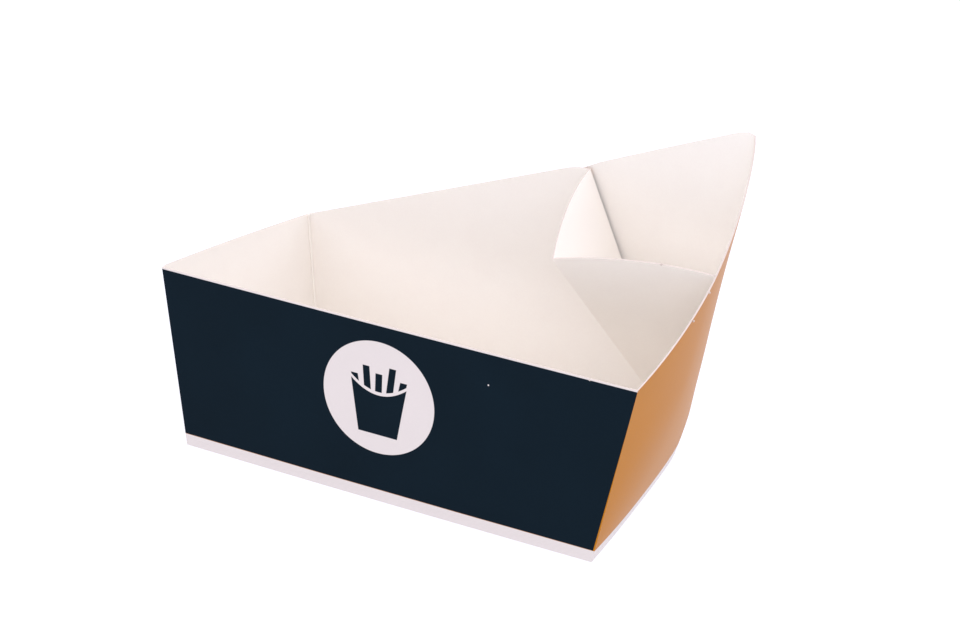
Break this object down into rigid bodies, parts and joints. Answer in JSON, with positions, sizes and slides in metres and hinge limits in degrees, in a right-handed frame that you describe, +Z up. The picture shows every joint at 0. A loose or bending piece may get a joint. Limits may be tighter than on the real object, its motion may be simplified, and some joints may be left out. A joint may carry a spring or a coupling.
{
  "type": "fries tray with sauce pocket",
  "caption": "Folded card tray for fries with a low printed front, a rising rear wall and a sauce pocket in its high rear corner.",
  "frame": {"origin": "middle of the base's underside, halfway between the front and rear folds, on the surface that the tray stands on", "axes": "+X along the front wall towards the pocket's side, +Y from the front wall to the rear, +Z up"},
  "size_m": [0.1636, 0.0865, 0.1072],
  "materials": {
    "card": "smooth carton board, uncoated inside, printed in matt navy and orange outside"
  },
  "bodies": {
    "root": {"tray": "card"}
  },
  "joints": []
}
